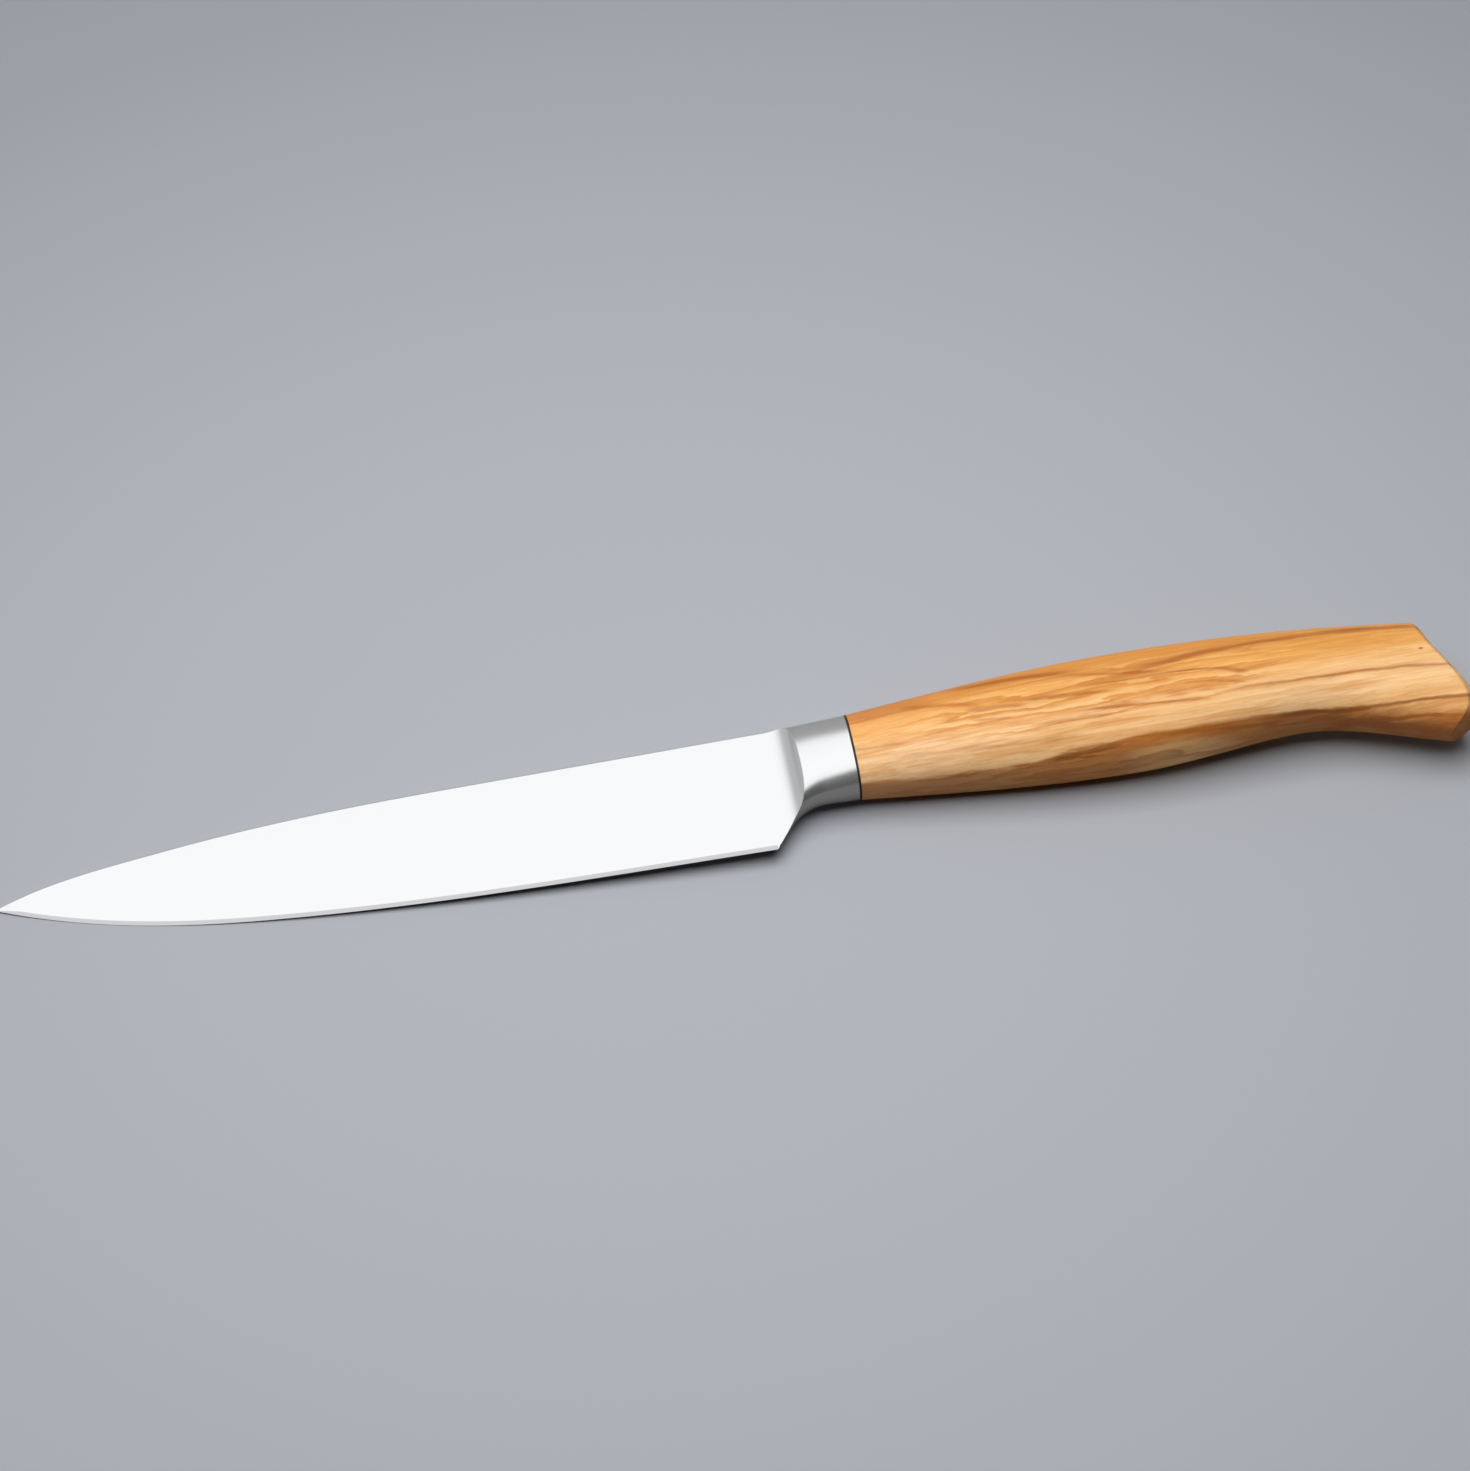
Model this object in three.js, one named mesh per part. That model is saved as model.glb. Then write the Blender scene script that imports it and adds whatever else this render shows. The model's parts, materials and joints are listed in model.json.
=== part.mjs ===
// Vegetable knife: a forged blade with its half bolster and hidden tang, a thin spacer, and a one-piece
// olive-wood handle bedded in adhesive on the tang. Millimetres, +Z up.
// The pieces are drawn with X = 0 on the bolster's back face and Y = 0 at the middle of that face: the point is
// towards -X, the cutting edge towards -Y and the flanks face +Z and -Z. The knife is then laid down as it rests
// on a table: on one flank of the handle and the end of the blade, leaning over towards its edge.
import * as THREE from 'three';
import { mergeVertices } from 'three/addons/utils/BufferGeometryUtils.js';

// Blade, side view
const BLADE_LENGTH = 146.2; // heel corner to the point
const HEEL_DROP = 8.6; // bolster's underside down to the heel corner
const HEEL_AHEAD = 7.3; // bolster's crease forward to the heel corner
const POINT_DROP = 8.9; // straight spine down to the point
const SPINE_CURVE_BACK = 85.5; // point back to where the spine is straight
const SPINE_BOW_BACK = 32.5; // point back to the middle of the spine's bow
const SPINE_BOW_DROP = 2.6; // straight spine down to the middle of the bow
const EDGE_BELLY_BACK = 47.9; // point back to the belly of the edge
const EDGE_BELLY_RISE = 4.5; // heel corner up to the belly of the edge

// Slopes of the blade's outline, as rise over run towards the handle
const POINT_SPINE_SLOPE = 0.39;
const BOW_SLOPE = 0.115;
const POINT_EDGE_SLOPE = -0.445;
const BELLY_SLOPE = -0.112;
const HEEL_SLOPE = -0.025;

// Blade, thickness
const SPINE_THICK = 2.2; // spine, where the blade leaves the bolster
const POINT_THICK = 1; // spine, run out to the point
const POINT_TAPER = 0.25; // most that the spine's thickness is of the blade's height, close to the point
const EDGE_THICK = 0.4; // behind the edge bevel
const BEVEL_WIDTH = 0.9; // edge bevel

// Bolster
const JOINT_HEIGHT = 16.9; // where bolster, spacer and handle meet
const JOINT_THICK = 11.8;
const SECTION_POWER = 2.5; // 2 is an ellipse, more is squarer
const BOLSTER_LENGTH = 10; // back face to the crease, at mid height
const BOLSTER_NOSE_THICK = 9; // at the crease
const COVE_RADIUS = 5.8; // hollow that rises from the blade's flank to the crease
const CHOIL_ANGLE = 52; // degrees, the heel's back edge above the knife's length
const CHOIL_RADIUS = 9.3; // hollow from that edge into the bolster's underside

// Tang and its bed
const TANG_HEIGHT = 8; // at the bolster
const TANG_END_HEIGHT = 5;
const TANG_THICK = 3;
const TANG_POWER = 8; // squareness of the flat bar's section
const BED_ROOM = 1; // from the tang to the wall of the mortise
const BED_END_ROOM = 3; // from the tang's end to the bottom of the mortise
const MORTISE_COVER = 30; // wood from the bottom of the mortise to the corner of spine and butt
const BED_CLEARANCE = 0.1; // left between the bed and the tang or the wood

// Spacer
const SPACER_THICK = 0.35;
const SPACER_SLOT_CLEARANCE = 0.3;
const GLUE_LINE = 0.05; // between bolster and spacer, and between spacer and handle

// Handle, side view: rises and drops are from the middle of its front face
const HANDLE_LENGTH = 110.8; // front face to the corner of spine and butt
const SWELL_BACK = 60.6; // that corner forward to the swell of the spine
const SWELL_RISE = 11.3;
const BUTT_RISE = 7;
const BELLY_BACK = 56.1; // that corner forward to the lowest point of the belly
const BELLY_DROP = 12.8;
const WAIST_BACK = 26.1; // that corner forward to the waist
const WAIST_DROP = 10.7;
const HOOK_PAST = 0.4; // that corner back to the hook, the lowest corner of the butt
const HOOK_DROP = 18.4;
const BEAK_REACH = 5.1; // beak's reach past the corner of spine and butt
const BEAK_ROUND = 3.9; // length over which the beak rounds back to the hook
const BEAK_TOP = 0.75; // where the butt starts to lean out: 1 is the spine, -1 the hook
const BEAK_TIP = -0.5; // where the butt reaches furthest
const BUTT_EDGE_RADIUS = 0.8;
const BUTT_EDGE_TURN = 45; // degrees that the butt's edge turns before its dome carries on
const BUTT_DOME = 2.5; // how far the butt bulges between its flanks

// Handle, thickness and slopes
const SWELL_THICK = 16.1;
const BUTT_THICK = 12;
const FRONT_SPINE_SLOPE = 0.065;
const FRONT_BELLY_SLOPE = -0.098;
const FRONT_FLANK_SLOPE = 0.1;
const BUTT_SPINE_SLOPE = -0.13;
const HOOK_SLOPE = -0.33;
const BUTT_FLANK_SLOPE = -0.05;

// How it lies
const LEAN = 9; // degrees that it leans over towards its edge

// Facets
const FLANK_STEPS = 16; // down one flank, spine to edge
const BLADE_STEPS = 24; // point to heel
const CHOIL_STEPS = 2; // heel to the start of the cove
const COVE_STEPS = 6;
const BOLSTER_STEPS = 10;
const HANDLE_STEPS = 28;
const ROUND_STEPS = 3; // over the butt's edge radius
const DOME_STEPS = 4; // from the butt's edge to its middle
const POINT_CROWDING = 0.6; // 0 spaces the blade's facets evenly, 1 crowds them most towards the point

const HALVINGS = 40; // in each search by halving

const { clamp, lerp, degToRad } = THREE.MathUtils;

/** Height at x of a smooth curve through [x, height, slope] stations, carried straight on past its ends. */
function curveAt(stations, x) {
  const last = stations.length - 1;
  const end = x < stations[0][0] ? stations[0] : stations[last];
  if (x < stations[0][0] || x > end[0]) return end[1] + end[2] * (x - end[0]);
  const i = Math.max(1, stations.findIndex((station) => station[0] >= x));
  const [x0, y0, slope0] = stations[i - 1];
  const [x1, y1, slope1] = stations[i];
  const run = x1 - x0;
  const t = (x - x0) / run;
  const back = 1 - t;
  const through = y0 * (1 + 2 * t) * back * back + y1 * t * t * (3 - 2 * t);
  return through + run * t * back * (slope0 * back - slope1 * t);
}

/** Half thickness, as a share of the middle's, at v from 1 at the spine to -1 at the edge. */
const roundness = (v, power = SECTION_POWER) => (1 - Math.abs(v) ** power) ** (1 / power);

// Stops down one flank from 1 to -1, spaced evenly round the section's curve
const DOWN = Array.from({ length: FLANK_STEPS + 1 }, (_, k) => {
  const c = Math.cos((Math.PI * k) / FLANK_STEPS);
  return Math.sign(c) * Math.abs(c) ** (2 / SECTION_POWER);
});
const LOWEST_STOP = DOWN[FLANK_STEPS - 1];

/** One whole section: a flank's points from spine to edge, then the other flank's, mirrored, back up. */
function section(flankPoint) {
  const flank = DOWN.map(flankPoint);
  const mirrored = flank.slice(1, -1).reverse().map(({ x, y, z }) => new THREE.Vector3(x, y, -z));
  return [...flank, ...mirrored];
}

/** Flat oval section square to the length, for the tang, its bed, the slot and the mortise. */
function barSection(x, height, thick) {
  return section((v) => new THREE.Vector3(x, (v * height) / 2, (roundness(v, TANG_POWER) * thick) / 2));
}

/** Closed solid through sections in turn. The ends are filled flat, or the last joins the first in a loop. */
function skin(sections, looped = false) {
  const count = sections[0].length;
  const corners = [];
  const quad = (a, b, c, d) => corners.push(a, b, c, a, c, d);
  const joins = looped ? sections.length : sections.length - 1;
  for (let s = 0; s < joins; s++) {
    const here = sections[s];
    const next = sections[(s + 1) % sections.length];
    for (let k = 0; k < count; k++) {
      const l = (k + 1) % count;
      quad(here[k], here[l], next[l], next[k]);
    }
  }
  if (!looped) {
    const first = sections[0];
    const final = sections[sections.length - 1];
    for (let k = 0; k < FLANK_STEPS; k++) {
      const across = (count - k) % count;
      quad(final[k], final[k + 1], final[count - k - 1], final[across]);
      quad(first[across], first[count - k - 1], first[k + 1], first[k]);
    }
  }
  return closed(corners);
}

/** Geometry of triangle corners with equal points merged and collapsed triangles left out. */
function closed(corners) {
  const loose = new THREE.BufferGeometry().setFromPoints(corners);
  const merged = mergeVertices(loose);
  const index = merged.getIndex().array;
  const kept = [];
  for (let i = 0; i < index.length; i += 3) {
    const [a, b, c] = index.slice(i, i + 3);
    if (a !== b && b !== c && c !== a) kept.push(a, b, c);
  }
  merged.setIndex(kept);
  merged.computeVertexNormals();
  return merged;
}

// Blade outline
const SPINE_Y = JOINT_HEIGHT / 2;
const UNDER_Y = -JOINT_HEIGHT / 2;
const HEEL_X = -BOLSTER_LENGTH - HEEL_AHEAD;
const HEEL_Y = UNDER_Y - HEEL_DROP;
const POINT_X = HEEL_X - BLADE_LENGTH;
const POINT_Y = SPINE_Y - POINT_DROP;
const SPINE_CURVE = [
  [POINT_X, POINT_Y, POINT_SPINE_SLOPE],
  [POINT_X + SPINE_BOW_BACK, SPINE_Y - SPINE_BOW_DROP, BOW_SLOPE],
  [POINT_X + SPINE_CURVE_BACK, SPINE_Y, 0],
];
const EDGE_CURVE = [
  [POINT_X, POINT_Y, POINT_EDGE_SLOPE],
  [POINT_X + EDGE_BELLY_BACK, HEEL_Y + EDGE_BELLY_RISE, BELLY_SLOPE],
  [HEEL_X, HEEL_Y, HEEL_SLOPE],
];

// Choil: the heel's back edge rises to the bolster's underside through a hollow arc
const CHOIL_TURN = degToRad(CHOIL_ANGLE);
const CHOIL_CORNER_X = HEEL_X + HEEL_DROP / Math.tan(CHOIL_TURN);
const CHOIL_ARC = Math.min(
  CHOIL_RADIUS,
  -CHOIL_CORNER_X / Math.tan(CHOIL_TURN / 2),
  HEEL_DROP / (1 - Math.cos(CHOIL_TURN)),
);
const CHOIL_ARC_END = CHOIL_CORNER_X + CHOIL_ARC * Math.tan(CHOIL_TURN / 2);
const CHOIL_ARC_START = CHOIL_ARC_END - CHOIL_ARC * Math.sin(CHOIL_TURN);

const spineAt = (x) => curveAt(SPINE_CURVE, x);

function underAt(x) {
  if (x <= HEEL_X) return curveAt(EDGE_CURVE, x);
  if (x <= CHOIL_ARC_START) return HEEL_Y + (x - HEEL_X) * Math.tan(CHOIL_TURN);
  if (x < CHOIL_ARC_END) return UNDER_Y - CHOIL_ARC + Math.sqrt(CHOIL_ARC ** 2 - (CHOIL_ARC_END - x) ** 2);
  return UNDER_Y;
}

const bevelAt = (x) => Math.min(BEVEL_WIDTH, POINT_TAPER * (spineAt(x) - underAt(x)));

/** Half thickness of the flat-ground blade, thinning from spine to edge and from bolster to point. */
function wedgeAt(x, y) {
  const edgeX = Math.min(x, HEEL_X);
  const bottom = curveAt(EDGE_CURVE, edgeX) + bevelAt(edgeX);
  const height = spineAt(x) - bottom;
  const run = lerp(POINT_THICK, SPINE_THICK, clamp(1 - x / POINT_X, 0, 1));
  const spineThick = Math.min(run, POINT_TAPER * height);
  const edgeThick = Math.min(EDGE_THICK, spineThick);
  return lerp(edgeThick, spineThick, clamp((y - bottom) / height, 0, 1)) / 2;
}

/** Half thickness of the bolster's rounded body at v down its section. */
function domeAt(x, v) {
  const along = clamp(x / BOLSTER_LENGTH + 1, 0, 1);
  return (lerp(BOLSTER_NOSE_THICK, JOINT_THICK, along) / 2) * roundness(clamp(v, -1, 1));
}

// The cove starts where its arc can climb from the blade's flank to the crease at mid height
const MID_Y = (SPINE_Y + UNDER_Y) / 2;
const COVE_RISE = BOLSTER_NOSE_THICK / 2 - wedgeAt(-BOLSTER_LENGTH, MID_Y);
const COVE_START = -BOLSTER_LENGTH - Math.sqrt(COVE_RADIUS ** 2 - Math.max(COVE_RADIUS - COVE_RISE, 0) ** 2);

/** Rise of the cove's arc above the blade's flank. Past the arc nothing but the bolster bounds the forging. */
function coveAt(x) {
  const run = Math.max(x - COVE_START, 0);
  return run < COVE_RADIUS ? COVE_RADIUS - Math.sqrt(COVE_RADIUS ** 2 - run ** 2) : Infinity;
}

/** Point on the forging's flank at x, on stop k of DOWN: the blade and its cove, where the bolster isn't thinner. */
function forgingPoint(x, k) {
  const top = spineAt(x);
  const under = underAt(x);
  const onBolster = clamp((x - HEEL_X) / HEEL_AHEAD, 0, 1);
  const rim = lerp(bevelAt(x), ((1 + LOWEST_STOP) / 2) * (top - under), onBolster);
  const share = (1 - DOWN[k]) / (1 - LOWEST_STOP);
  const y = k === FLANK_STEPS ? under : lerp(top, under + rim, share);
  const v = (2 * y - top - under) / (top - under);
  const sharp = k === 0 || k === FLANK_STEPS;
  const z = sharp ? 0 : Math.min(wedgeAt(x, y) + coveAt(x), domeAt(x, v));
  return new THREE.Vector3(x, y, z);
}

/** Where the cove meets the bolster on stop k, found by halving. It lies off the cove's start on every stop. */
function creaseAt(k) {
  const nearest = Math.max(HEEL_X, COVE_START + COVE_RADIUS / COVE_STEPS);
  let low = COVE_START;
  let high = 0;
  for (let halving = 0; halving < HALVINGS; halving++) {
    const x = (low + high) / 2;
    const { y, z } = forgingPoint(x, k);
    if (wedgeAt(x, y) + coveAt(x) > z) high = x;
    else low = x;
  }
  return Math.max(low, nearest);
}

// Places of the spacer, the handle and the end of the tang behind the bolster
const SPACER_FRONT = GLUE_LINE;
const SPACER_BACK = SPACER_FRONT + SPACER_THICK;
const HANDLE_FRONT = SPACER_BACK + GLUE_LINE;
const MORTISE_END = HANDLE_FRONT + HANDLE_LENGTH - MORTISE_COVER;
const TANG_LENGTH = MORTISE_END - BED_END_ROOM;

/** The forging: blade, cove, bolster and tang in one skin. The tang leaves the bolster's flat back face. */
function forging() {
  const sections = [];
  const across = (xAt) => sections.push(section((v, k) => forgingPoint(xAt(k), k)));
  const bladeEnd = Math.min(HEEL_X, COVE_START);
  for (let i = 0; i <= BLADE_STEPS; i++) {
    const eased = 1 - Math.cos((Math.PI * i) / (2 * BLADE_STEPS));
    across(() => lerp(POINT_X, bladeEnd, lerp(i / BLADE_STEPS, eased, POINT_CROWDING)));
  }
  for (let i = 1; i <= CHOIL_STEPS && bladeEnd < COVE_START; i++) {
    across(() => lerp(bladeEnd, COVE_START, i / CHOIL_STEPS));
  }
  const crease = DOWN.map((v, k) => creaseAt(k));
  for (let i = 1; i <= COVE_STEPS; i++) across((k) => lerp(COVE_START, crease[k], i / COVE_STEPS));
  for (let i = 1; i <= BOLSTER_STEPS; i++) across((k) => lerp(crease[k], 0, i / BOLSTER_STEPS));
  sections.push(barSection(0, TANG_HEIGHT, TANG_THICK));
  sections.push(barSection(TANG_LENGTH, TANG_END_HEIGHT, TANG_THICK));
  return skin(sections);
}

const tangHeightAt = (x) => lerp(TANG_HEIGHT, TANG_END_HEIGHT, x / TANG_LENGTH);

/** Section round the tang at x, with some room all round it. */
const roundTang = (x, room, along = x) => barSection(along, tangHeightAt(x) + 2 * room, TANG_THICK + 2 * room);

/** The spacer: the joint's section with a slot for the tang, joined in a loop. */
function spacer() {
  const outline = (x) =>
    section((v) => new THREE.Vector3(x, (v * JOINT_HEIGHT) / 2, (roundness(v) * JOINT_THICK) / 2));
  const slot = (x) => roundTang(0, SPACER_SLOT_CLEARANCE, x);
  return skin([outline(SPACER_FRONT), outline(SPACER_BACK), slot(SPACER_BACK), slot(SPACER_FRONT)], true);
}

/** The bed: a sleeve round the tang, closed behind the tang's end. */
function tangBed() {
  const wall = BED_ROOM - BED_CLEARANCE;
  return skin([
    roundTang(TANG_LENGTH, BED_CLEARANCE, TANG_LENGTH + BED_CLEARANCE),
    roundTang(HANDLE_FRONT, BED_CLEARANCE),
    roundTang(HANDLE_FRONT, wall),
    roundTang(TANG_LENGTH, wall, MORTISE_END - BED_CLEARANCE),
  ]);
}

// Handle outlines, from its front face
const HANDLE_SPINE = [
  [0, JOINT_HEIGHT / 2, FRONT_SPINE_SLOPE],
  [HANDLE_LENGTH - SWELL_BACK, SWELL_RISE, 0],
  [HANDLE_LENGTH, BUTT_RISE, BUTT_SPINE_SLOPE],
];
const HANDLE_BELLY = [
  [0, -JOINT_HEIGHT / 2, FRONT_BELLY_SLOPE],
  [HANDLE_LENGTH - BELLY_BACK, -BELLY_DROP, 0],
  [HANDLE_LENGTH - WAIST_BACK, -WAIST_DROP, 0],
  [HANDLE_LENGTH + HOOK_PAST, -HOOK_DROP, HOOK_SLOPE],
];
const HANDLE_FLANK = [
  [0, JOINT_THICK / 2, FRONT_FLANK_SLOPE],
  [HANDLE_LENGTH - SWELL_BACK, SWELL_THICK / 2, 0],
  [HANDLE_LENGTH + BEAK_REACH, BUTT_THICK / 2, BUTT_FLANK_SLOPE],
];

/** Length of the handle at v: it leans out from the spine's corner to the beak, then rounds back to the hook. */
function buttAt(v) {
  const lean = THREE.MathUtils.smoothstep(BEAK_TOP - v, 0, BEAK_TOP - BEAK_TIP);
  const beak = clamp((BEAK_TIP - v) / (1 + BEAK_TIP), 0, 1);
  return HANDLE_LENGTH + BEAK_REACH * lean - BEAK_ROUND * beak * beak;
}

/** Point on the handle's flank at v, at a length along it, set in from the surface. */
function handlePoint(length, v, inset) {
  const top = curveAt(HANDLE_SPINE, length);
  const under = curveAt(HANDLE_BELLY, length);
  const y = (top + under) / 2 + v * ((top - under) / 2 - inset);
  const z = roundness(v) * (curveAt(HANDLE_FLANK, length) - inset);
  return new THREE.Vector3(HANDLE_FRONT + length, y, z);
}

/** The handle: up its mortise, out across the front face, back to the butt, over its edge and across its dome. */
function handle() {
  const sections = [roundTang(TANG_LENGTH, BED_ROOM, MORTISE_END), roundTang(HANDLE_FRONT, BED_ROOM)];
  for (let i = 0; i <= HANDLE_STEPS; i++) {
    const along = i / HANDLE_STEPS;
    sections.push(section((v) => handlePoint(along * (buttAt(v) - BUTT_EDGE_RADIUS), v, 0)));
  }
  const rim = degToRad(BUTT_EDGE_TURN);
  const shortAt = (turn) => BUTT_EDGE_RADIUS * (1 - Math.sin(turn));
  const insetAt = (turn) => BUTT_EDGE_RADIUS * (1 - Math.cos(turn));
  for (let i = 1; i <= ROUND_STEPS; i++) {
    const turn = rim * (i / ROUND_STEPS);
    sections.push(section((v) => handlePoint(buttAt(v) - shortAt(turn), v, insetAt(turn))));
  }
  for (let i = 1; i < DOME_STEPS; i++) {
    const out = 1 - i / DOME_STEPS;
    const bulge = (v) => BUTT_DOME * roundness(v) * (1 - out * out);
    const flattened = ({ x, y, z }, v) => new THREE.Vector3(x + bulge(v), y, z * out);
    sections.push(section((v) => flattened(handlePoint(buttAt(v) - shortAt(rim) * out * out, v, insetAt(rim)), v)));
  }
  return skin(sections);
}

/** Turn of the knife as it lies: leant over, and pitched so that blade and handle both touch, found by halving. */
function restTurn(front, rear) {
  const turnAt = (pitch) => new THREE.Euler(degToRad(LEAN), -pitch, 0, 'YXZ');
  const lowest = (mesh, pitch) => {
    const turned = new THREE.Matrix4().makeRotationFromEuler(turnAt(pitch));
    const laid = mesh.geometry.clone().applyMatrix4(turned);
    laid.computeBoundingBox();
    return laid.boundingBox.min.z;
  };
  let level = 0;
  let steep = Math.PI / 4;
  for (let halving = 0; halving < HALVINGS; halving++) {
    const pitch = (level + steep) / 2;
    if (lowest(front, pitch) > lowest(rear, pitch)) level = pitch;
    else steep = pitch;
  }
  return turnAt(level);
}

/** One named piece of the knife. */
function piece(name, geometry, color, roughness, metalness) {
  const mesh = new THREE.Mesh(geometry, new THREE.MeshStandardMaterial({ color, roughness, metalness }));
  mesh.name = name;
  return mesh;
}

const bladePiece = piece('blade', forging(), 0xd5d8dc, 0.25, 1);
const spacerPiece = piece('bolster_spacer', spacer(), 0x1d1b1c, 0.6, 0);
const bedPiece = piece('tang_adhesive', tangBed(), 0xd9c79c, 0.4, 0);
const handlePiece = piece('handle', handle(), 0xe1a566, 0.5, 0);

// Laid down, with the origin under the middle of its box
const knife = new THREE.Group();
knife.add(bladePiece, spacerPiece, bedPiece, handlePiece);
knife.rotation.copy(restTurn(bladePiece, handlePiece));
const box = new THREE.Box3().setFromObject(knife, true);
const middle = box.getCenter(new THREE.Vector3());
knife.position.set(-middle.x, -middle.y, -box.min.z);

export default knife;
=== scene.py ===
import json
import bmesh
import bpy
import numpy as np
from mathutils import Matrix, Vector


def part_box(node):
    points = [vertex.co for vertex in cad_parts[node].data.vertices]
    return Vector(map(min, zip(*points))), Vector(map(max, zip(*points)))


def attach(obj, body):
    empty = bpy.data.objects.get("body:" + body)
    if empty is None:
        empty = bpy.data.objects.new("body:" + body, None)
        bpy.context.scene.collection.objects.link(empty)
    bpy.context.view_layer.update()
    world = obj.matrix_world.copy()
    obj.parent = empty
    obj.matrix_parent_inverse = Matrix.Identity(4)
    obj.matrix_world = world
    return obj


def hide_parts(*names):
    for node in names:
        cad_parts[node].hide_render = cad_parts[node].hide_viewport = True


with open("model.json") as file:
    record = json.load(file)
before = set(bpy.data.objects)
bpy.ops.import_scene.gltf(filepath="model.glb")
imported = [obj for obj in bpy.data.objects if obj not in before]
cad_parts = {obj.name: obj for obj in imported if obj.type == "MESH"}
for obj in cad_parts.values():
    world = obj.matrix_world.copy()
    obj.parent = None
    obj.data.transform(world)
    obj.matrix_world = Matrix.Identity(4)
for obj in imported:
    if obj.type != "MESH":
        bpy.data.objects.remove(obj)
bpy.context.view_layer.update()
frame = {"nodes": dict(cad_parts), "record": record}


# How the knife lies
# The knife rests on one flank, on its blade's end and the swell of its handle, leaning towards its edge.
# Pieces are drawn in millimetres: x runs back from the bolster's back face, y from edge to spine, z out of
# the upper flank. The blade's two flats face away from each other, and their axes give the turn.
MILLIMETRE = 0.001
SPACER_FRONT = 0.05
SPACER_BACK = 0.40

flat_axes = {mount["name"]: np.array(mount["axis"]) for mount in frame["record"]["mounts"]}
out_of_flank = flat_axes["blade_flat_up"] - flat_axes["blade_flat_down"]
out_of_flank /= np.linalg.norm(out_of_flank)
pitch = np.arctan2(-out_of_flank[0], out_of_flank[2])
lean = np.arcsin(-out_of_flank[1])
to_butt = np.array([np.cos(pitch), 0.0, np.sin(pitch)])
to_spine = np.cross(out_of_flank, to_butt)
spacer_centre = np.mean(np.array(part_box("bolster_spacer")), axis=0)
joint = spacer_centre - (SPACER_FRONT + SPACER_BACK) / 2 * MILLIMETRE * to_butt


def lying(points):
    """Points of the knife's own frame, in millimetres, as points of the scene, in metres."""
    return joint + MILLIMETRE * (points @ np.array([to_butt, to_spine, out_of_flank]))


# Blade, bolster and tang
# One piece of stainless steel, drop forged and ground on both flanks. The half bolster is the forging's own
# thick end, blended into the flanks by a cove, and its hidden tang is glued into the handle.
BLADE_LENGTH = 146.2
HEEL_DROP = 8.6
HEEL_AHEAD = 7.3
POINT_DROP = 8.9
SPINE_CURVE_BACK = 85.5
SPINE_BOW_BACK = 32.5
SPINE_BOW_DROP = 2.6
EDGE_BELLY_BACK = 47.9
EDGE_BELLY_RISE = 4.5
POINT_SPINE_SLOPE = 0.39
BOW_SLOPE = 0.115
POINT_EDGE_SLOPE = -0.445
BELLY_SLOPE = -0.112
HEEL_SLOPE = -0.025
SPINE_THICK = 2.2
POINT_THICK = 1.0
POINT_TAPER = 0.25
SPINE_EASE = 0.3
SPINE_EASE_SHARE = 1 / 3
EDGE_THICK = 0.4
BEVEL_WIDTH = 0.9
BEVEL_RUN_OUT = 0.6
JOINT_HEIGHT = 16.9
JOINT_THICK = 11.8
SECTION_POWER = 2.5
BOLSTER_LENGTH = 10.0
BOLSTER_NOSE_THICK = 9.0
COVE_RADIUS = 5.8
CHOIL_TURN = np.radians(52)
CHOIL_RADIUS = 9.3
TANG_HEIGHT = 8.0
TANG_END_HEIGHT = 5.0
TANG_THICK = 3.0
TANG_POWER = 8
TANG_LENGTH = 78.25

SPINE_Y = JOINT_HEIGHT / 2
UNDER_Y = -JOINT_HEIGHT / 2
HEEL_X = -BOLSTER_LENGTH - HEEL_AHEAD
HEEL_Y = UNDER_Y - HEEL_DROP
POINT_X = HEEL_X - BLADE_LENGTH
POINT_Y = SPINE_Y - POINT_DROP
SPINE_STATIONS = [
    (POINT_X, POINT_Y, POINT_SPINE_SLOPE),
    (POINT_X + SPINE_BOW_BACK, SPINE_Y - SPINE_BOW_DROP, BOW_SLOPE),
    (POINT_X + SPINE_CURVE_BACK, SPINE_Y, 0),
]
EDGE_STATIONS = [
    (POINT_X, POINT_Y, POINT_EDGE_SLOPE),
    (POINT_X + EDGE_BELLY_BACK, HEEL_Y + EDGE_BELLY_RISE, BELLY_SLOPE),
    (HEEL_X, HEEL_Y, HEEL_SLOPE),
]
CHOIL_ARC_END = HEEL_X + HEEL_DROP / np.tan(CHOIL_TURN) + CHOIL_RADIUS * np.tan(CHOIL_TURN / 2)
CHOIL_ARC_START = CHOIL_ARC_END - CHOIL_RADIUS * np.sin(CHOIL_TURN)

FLANK_STOPS = 72
BLADE_RINGS = 150
POINT_CROWDING = 0.6
CHOIL_RINGS = 10
COVE_RINGS = 28
BOLSTER_RINGS = 36
SHARP_STEEL = np.radians(30)
HALVINGS = 40
SLIVER = 1e-6
TOUCH = 1e-9
MERGE_METRES = 1e-8
ON_EDGE = 0.01

# Stops down a flank, from 1 at the spine to -1 at the edge, spaced evenly round the joint's superellipse:
# the cosine of the turn, to the power of 2 / SECTION_POWER, with its sign kept
even_turn = np.cos(np.linspace(0, np.pi, FLANK_STOPS + 1))
STOPS = np.sign(even_turn) * np.abs(even_turn) ** (2 / SECTION_POWER)


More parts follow.
